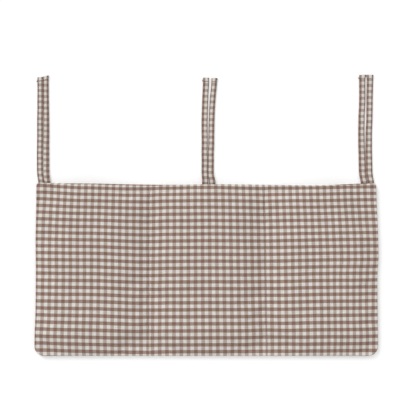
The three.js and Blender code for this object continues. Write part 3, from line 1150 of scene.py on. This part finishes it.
# %% [markdown]
# ## Ties
# A tie is a strip of the same gingham, cut so that its stronger bands run along it, with its long
# edges turned in, folded in half and stitched along the open side. Its end is turned over once more,
# which leaves a short thick band. A bevelled box would be simpler, but its open side would show no
# layers. So the strip's section is drawn once, as a chain of edges that goes in, round and in again,
# and is then extruded along the tie row by row. Solidify gives the cloth its thickness.
#
# No two ties lie alike, so each has its own facts, in millimetres. The path and the widths are points
# along the tie: a distance from the hem, with how far aside the tie lies there or how wide it is.
# Short is how far it ends before its solid does, and open is the side that is stitched, 1 for the
# right and -1 for the left. Band is how far aside the light band lies, at the root and at the tip,
# pitch is the length of a check repeat, and light is how far from the tip a light check lies. Slant
# is how far the end leans, and the ears are the corners of the turned end that stick out: the side,
# the distance from the end and the size of each.

# %% Say how each tie lies
TIES = {
    "left_a": {
        "path": [
            (-15, 0.0), (0, 0.3), (12, -1.7), (37, -2.5),
            (72, -2.2), (107, -2.2), (141, -1.8), (184, -1.8),
        ],
        "widths": [(0, 10.6), (184, 9.8)], "short": 0.0, "open": -1, "band": (-0.3, -0.3),
        "pitch": 9.85, "light": 18.5, "slant": 0.3, "ears": [(-1, 7.0, 1.6)],
    },
    "left_b": {
        "path": [
            (-15, 0.0), (0, -0.4), (12, -2.2), (37, -2.8),
            (72, -2.8), (107, -2.9), (141, -3.3), (184, -3.6),
        ],
        "widths": [(0, 10.6), (184, 9.4)], "short": 0.0, "open": 1, "band": (-2.9, -0.9),
        "pitch": 10.0, "light": 21.0, "slant": 1.1, "ears": [(1, 1.0, 0.3)],
    },
    "middle_a": {
        "path": [
            (-15, 0.0), (0, 0.8), (12, 0.1), (37, -0.1),
            (72, -0.1), (107, -0.2), (141, 0.8), (184, 2.4),
        ],
        "widths": [(0, 10.6), (184, 10.4)], "short": 1.0, "open": -1, "band": (1.3, 1.3),
        "pitch": 10.15, "light": 17.2, "slant": 0.0, "ears": [(-1, 4.8, 1.6)],
    },
    "middle_b": {
        "path": [
            (-15, 0.0), (0, 1.4), (12, -0.8), (37, -0.9),
            (72, 0.0), (107, 0.6), (141, 2.1), (184, 5.3),
        ],
        "widths": [(0, 11.6), (15, 10.6), (184, 9.8)], "short": 1.6, "open": 1, "band": (-1.1, -1.1),
        "pitch": 10.25, "light": 16.1, "slant": 0.0, "ears": [(1, 2.0, 1.1)],
    },
    "right_a": {
        "path": [
            (-15, 0.0), (0, -2.2), (12, -4.4), (37, -5.3),
            (72, -6.35), (107, -6.25), (141, -5.0), (188, -4.9),
        ],
        "widths": [(0, 11.2), (20, 11.7), (50, 11.3), (107, 10.6), (188, 10.6)], "short": 0.0, "open": -1,
        "band": (1.1, 1.1), "pitch": 10.55, "light": 25.0, "slant": 0.2,
        "ears": [(-1, 5.4, 1.9), (1, 0.5, 1.4), (1, 2.4, 1.6)],
    },
    "right_b": {
        "path": [
            (-15, 0.0), (0, -1.9), (12, -4.1), (37, -4.9),
            (72, -5.2), (107, -4.15), (141, -3.7), (188, -2.9),
        ],
        "widths": [(0, 11.2), (20, 11.7), (50, 11.3), (107, 10.6), (188, 11.0)], "short": 0.9, "open": 1,
        "band": (0.5, 0.5), "pitch": 10.55, "light": 23.8, "slant": 0.0,
        "ears": [(1, 1.0, 0.4), (-1, 0.5, 0.7), (-1, 2.4, 0.7)],
    },
}
print("ties:", ", ".join(TIES))

# %% Find places on a tie
TIE_SETTLE = 25 * MM
TIE_CROWN = 0.25 * MM
END_FOLD = 6.0 * MM
# The narrow dark band past the fold is partly the cloth's own dyed band and partly painted shade under
# the fold's edge.
FOLD_SHADE_BAND = 2.4 * MM
FOLD_RISE = 0.8 * MM
SLANT_REACH = 14 * MM
EAR_LENGTH = 1.3 * MM
EAR_FROM = 0.3
END_THIN = 0.35
END_TAPER = (-0.2 * MM, 1.2 * MM)
FOLD_SOFTNESS = 0.3 * MM
LIGHT_COUNT = 2.5
FOLD_COUNT = 0.64
TIP_COUNT = 0.3


def tie_facts(name):
    """The places of a tie that its pieces share, read from the frame."""
    root_low, root_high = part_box(f"tie_root_{name}")
    joint = next(row for row in frame["joints"] if row["child"] == f"tie_{name}")
    return {
        "hinge": Vector(joint["pos_m"]),
        "middle": (root_low.x + root_high.x) / 2,
        "half": (root_high.x - root_low.x) / 2,
        "thickness": root_high.z - root_low.z,
        "start": root_low.y,
        "tip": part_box(f"tie_strip_{name}")[1].y - TIES[name]["short"] * MM,
    }


def tie_aside(name, along):
    """How far the tie's middle lies from a straight line."""
    return curve(along / MM, TIES[name]["path"]) * MM


def tie_half(name, along):
    """Half of the tie's width."""
    return curve(along / MM, TIES[name]["widths"]) / 2 * MM


def tie_level(facts, along):
    """The height of the tie's middle: it comes out of the hem and settles on the table."""
    rest = facts["thickness"] / 2 + TIE_CROWN
    return facts["hinge"].z + (rest - facts["hinge"].z) * smooth(along, 0, TIE_SETTLE)


def tie_swell(facts, share, to_end):
    """How much fuller the tie is at a share of its half width: crowned, and pressed flat at its end."""
    crown = 1 + 2 * TIE_CROWN / facts["thickness"] * (1 - share * share)
    return crown * (END_THIN + (1 - END_THIN) * smooth(to_end, *END_TAPER))


def fold_swell(facts, to_end):
    """How much thicker the upper half is where the end is turned over."""
    fold = smooth(to_end, END_FOLD + FOLD_SOFTNESS, END_FOLD - FOLD_SOFTNESS)
    return 1 + 2 * FOLD_RISE / facts["thickness"] * fold


def tie_slant(name, share, to_end):
    """How far the end leans along the tie: forward on its right side and back on its left."""
    return TIES[name]["slant"] * MM * share * smooth(to_end, SLANT_REACH, 0)


def tie_ears(name, share, to_end):
    """How far aside the corners of the turned end stick out."""
    aside = 0.0
    for side, place, size in TIES[name]["ears"]:
        along = (to_end - place * MM) / EAR_LENGTH
        aside += side * size * MM * math.exp(-along * along) * smooth(side * share, EAR_FROM, 1)
    return aside


def on_tie(name, facts, y, share):
    """A point on a tie's upper face, at a share of its half width."""
    along = y - facts["hinge"].y
    to_end = facts["tip"] - y
    up = facts["thickness"] / 2 * tie_swell(facts, share, to_end) * fold_swell(facts, to_end)
    aside = tie_aside(name, along) + tie_ears(name, share, to_end)
    x = facts["middle"] + aside + share * tie_half(name, along)
    return Vector((x, y + tie_slant(name, share, to_end), tie_level(facts, along) + up))


def tie_row(name, to_end):
    """The count of checks at a distance from the tie's end, whose last stretch is turned over, with a
    narrow dark band at the fold's edge.
    """
    pitch = TIES[name]["pitch"] * MM
    light = TIES[name]["light"] * MM
    below = max(to_end, END_FOLD + FOLD_SHADE_BAND)
    plain = LIGHT_COUNT + (below - light) / pitch
    # Past the fold the count runs quickly over a dyed band: a dark line that is partly the cloth's band
    # and partly painted shade under the fold.
    return curve(to_end, [(0, TIP_COUNT), (END_FOLD, FOLD_COUNT), (END_FOLD + FOLD_SHADE_BAND, plain)])


for name in TIES:
    print(f"tie {name}: out of the hem by", round((tie_facts(name)["tip"] - PANEL_TOP) / MM, 1), "mm")

# %% Weave the strips
TIE_CLOTH = 0.42 * MM
TIE_TURNED_IN = 6.5 * MM
TIE_PITCH = 9.6 * MM
LAYER_STEP = 1.15 * TIE_CLOTH
FLAT_SHARES = (-0.75, -0.4, 0.0, 0.4, 0.75)
FOLD_LEVELS = (0.3, 0.7)
STRIP_ROWS = 64
FINE_END = 16 * MM
END_ROWS = 32


def tie_section(half, thickness):
    """The strip's line across the tie, from one turned-in edge round the fold to the other."""
    low = TIE_CLOTH / 2
    high = thickness - TIE_CLOTH / 2
    inner_low = low + LAYER_STEP
    inner_high = high - LAYER_STEP
    rim = half - TIE_CLOTH
    bend = half - TIE_CLOTH / 2
    inside = half - TIE_TURNED_IN
    turned_low = [(inside, inner_low), ((inside + rim) / 2, inner_low), (rim, inner_low)]
    under = [(share * half, low) for share in reversed(FLAT_SHARES)]
    fold = [(-bend, thickness * level) for level in FOLD_LEVELS]
    upper = [(share * half, high) for share in FLAT_SHARES]
    turned_high = [(rim, inner_high), ((inside + rim) / 2, inner_high), (inside, inner_high)]
    chain = turned_low + [(bend, (inner_low + low) / 2), (rim, low)] + under + [(-rim, low)]
    chain += fold + [(-rim, high)] + upper + [(rim, high), (bend, (inner_high + high) / 2)]
    return chain + turned_high


def weave_strip(name, facts, chain):
    """Extrudes the section along the tie, and marks its checks while it is straight."""
    cloth = bmesh.new()
    layer = cloth.loops.layers.uv.new(WEAVE_MAP)
    turn = TIES[name]["open"]
    verts = [cloth.verts.new((turn * across, facts["start"], up)) for across, up in chain]
    edges = [cloth.edges.new(pair) for pair in zip(verts, verts[1:])]
    fine_from = facts["tip"] - FINE_END
    places = stepped_run(facts["start"], (fine_from, STRIP_ROWS), (facts["tip"], END_ROWS))
    for here, there in zip(places, places[1:] + [facts["tip"]]):
        extruded = bmesh.ops.extrude_edge_only(cloth, edges=edges)["geom"]
        edges = [item for item in extruded if isinstance(item, bmesh.types.BMEdge)]
        moved = [item for item in extruded if isinstance(item, bmesh.types.BMVert)]
        bmesh.ops.translate(cloth, verts=moved, vec=(0, there - here, 0))
    bmesh.ops.recalc_face_normals(cloth, faces=cloth.faces)
    root, tip = TIES[name]["band"]
    for face in cloth.faces:
        for loop in face.loops:
            place = loop.vert.co
            middle = (root + (tip - root) * smooth(place.y, facts["start"], facts["tip"])) * MM
            loop[layer].uv = (tie_row(name, facts["tip"] - place.y), (place.x - middle) / TIE_PITCH + 0.5)
    return cloth


print("points across a strip:", len(tie_section(1, 1)))

# %% Make the ties
TIE_WAVE = 0.25 * MM
WAVES_APART = 40
WAVES_ALONG = 60


def bend_strip(name, facts, cloth):
    """Lays the straight strip in its bend, with its turned end and the ears at its corners."""
    for vert in cloth.verts:
        along = vert.co.y - facts["hinge"].y
        to_end = facts["tip"] - vert.co.y
        share = vert.co.x / facts["half"]
        across = share * tie_half(name, along)
        up = (vert.co.z - facts["thickness"] / 2) * tie_swell(facts, share, to_end)
        if up > 0:
            up *= fold_swell(facts, to_end)
        wave = noise.noise(Vector((facts["middle"] * WAVES_APART, vert.co.y * WAVES_ALONG, 0)))
        aside = tie_aside(name, along) + TIE_WAVE * wave + tie_ears(name, share, to_end)
        vert.co.x = facts["middle"] + aside + across
        vert.co.y += tie_slant(name, share, to_end)
        vert.co.z = max(tie_level(facts, along) + up, TIE_CLOTH / 2)


def make_tie(name):
    facts = tie_facts(name)
    chain = tie_section(facts["half"], facts["thickness"])
    cloth = weave_strip(name, facts, chain)
    bend_strip(name, facts, cloth)
    tie = new_piece(f"tie_{name}_strip", cloth, tie_gingham)
    shell = tie.modifiers.new("cloth", "SOLIDIFY")
    shell.thickness = TIE_CLOTH
    shell.offset = 0
    keep_modifiers(tie)
    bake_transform(tie)
    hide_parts(f"tie_root_{name}", f"tie_strip_{name}")
    return tie


ties = {name: make_tie(name) for name in TIES}
print("ties:", len(ties), "strips of", len(ties["left_a"].data.polygons), "faces")

# %% [markdown]
# ## Stitches
# A stitch is a short piece of thread that comes up, lies on the cloth and goes down again: from outside,
# a small bead, longer than it is thick. A long thin curve would be quicker, but it would look like a
# cord, so one bead of a few dozen faces is repeated along each sewn line. A tie has a row along its open
# side, a row across its turned end, and a few stitches on top of each other at the corner where the
# thread was fastened off, whose dark spot is also painted shade at the open end of the fold. A bar tack,
# a close zigzag, holds its root under the hem.

# %% Sew the two lines
STITCH_PITCH = 3.0 * MM
STITCH_LENGTH = 2.5 * MM
THREAD_THICKNESS = 0.45 * MM
BEAD_SIDES = 8
BEAD_RINGS = 5
TOP_PROUD = 0.05 * MM
UNDER_PROUD = 0.15 * MM


def sew(name, material, body, node, places):
    """A row of stitches, each given by its middle, its direction and its length."""
    row = bmesh.new()
    for place, direction, length in places:
        turn = direction.to_track_quat("X", "Z").to_matrix().to_4x4()
        size = Matrix.Diagonal((length / 2, THREAD_THICKNESS / 2, THREAD_THICKNESS / 2, 1))
        bmesh.ops.create_uvsphere(
            row,
            u_segments=BEAD_SIDES,
            v_segments=BEAD_RINGS,
            radius=1.0,
            matrix=Matrix.Translation(place) @ turn @ size,
        )
    stitches = new_piece(name, row, material)
    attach(stitches, body)
    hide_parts(node)
    return len(places)


def sew_line(start, end, height):
    """Even stitches from start to end, raised by a height."""
    count = int((end - start).length / STITCH_PITCH)
    direction = (end - start).normalized()
    return [
        (start + (end - start) * (i + 0.5) / count + Vector((0, 0, height)), direction, STITCH_LENGTH)
        for i in range(count)
    ]


for side, line in (("left", DIVIDER_LEFT), ("right", DIVIDER_RIGHT)):
    foot = Vector((line, PANEL_BOTTOM + EDGE_ROLL, 0))
    head = Vector((line, MOUTH, 0))
    places = sew_line(foot, head, FRONT_FACE - GROOVE_DEPTH + TOP_PROUD)
    places += sew_line(foot, head, CHANNEL_DEPTH - UNDER_PROUD)
    places = [(lie(place), direction, length) for place, direction, length in places]
    count = sew(f"divider_{side}_stitches", pale_thread, "back_panel", f"divider_stitch_{side}", places)
    print(f"{side} line:", count, "stitches")

# %% Sew and tack the ties
STITCH_INSET = 2.0 * MM
THREAD_SUNK = 0.1 * MM
END_ROW = END_FOLD - 0.1 * MM
END_ROW_SHARES = (-0.72, -0.24, 0.24, 0.72)
CORNER_SHARE = 0.72
# The stitches stacked at the corner are fastened thread, and their dark spot is also painted shade at the
# fold's open end.
CORNER_SHADE_ROWS = (0.8 * MM, 1.3 * MM, 1.8 * MM, 2.3 * MM)
TACK_STITCHES = 11
TACK_HEIGHT = 0.35 * MM
TACK_ZIGZAG = 0.35


def tie_stitches(name):
    """The rows along a tie and across its end, and the stitches in its corner."""
    facts = tie_facts(name)
    low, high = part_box(f"tie_stitch_{name}")
    spots = []
    for place, direction, _ in sew_line(Vector((0, low.y, 0)), Vector((0, high.y, 0)), 0):
        share = 1 - STITCH_INSET / tie_half(name, place.y - facts["hinge"].y)
        spots.append((place.y, TIES[name]["open"] * share, direction))
    sideways = Vector((1, 0, 0))
    spots += [(facts["tip"] - END_ROW, share, sideways) for share in END_ROW_SHARES]
    # The corner stack: fastened thread whose dark spot also paints the shade at the fold's open end.
    spots += [(facts["tip"] - to_end, CORNER_SHARE, sideways) for to_end in CORNER_SHADE_ROWS]
    sunk = Vector((0, 0, THREAD_SUNK))
    return [(on_tie(name, facts, y, share) - sunk, way, STITCH_LENGTH) for y, share, way in spots]


def tack_stitches(name):
    """A close zigzag across the root of a tie."""
    low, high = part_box(f"tie_tack_{name}")
    places = []
    for i in range(TACK_STITCHES):
        x = low.x + (high.x - low.x) * (i + 0.5) / TACK_STITCHES
        place = lie(Vector((x, (low.y + high.y) / 2, TACK_HEIGHT)))
        places.append((place, Vector((TACK_ZIGZAG * (-1) ** i, 1, 0)), high.y - low.y))
    return places


for name in TIES:
    count = sew(
        f"tie_{name}_stitches", brown_thread, f"tie_{name}", f"tie_stitch_{name}", tie_stitches(name)
    )
    count += sew(f"tie_{name}_tack", brown_thread, "back_panel", f"tie_tack_{name}", tack_stitches(name))
    print(f"tie {name}:", count, "stitches")
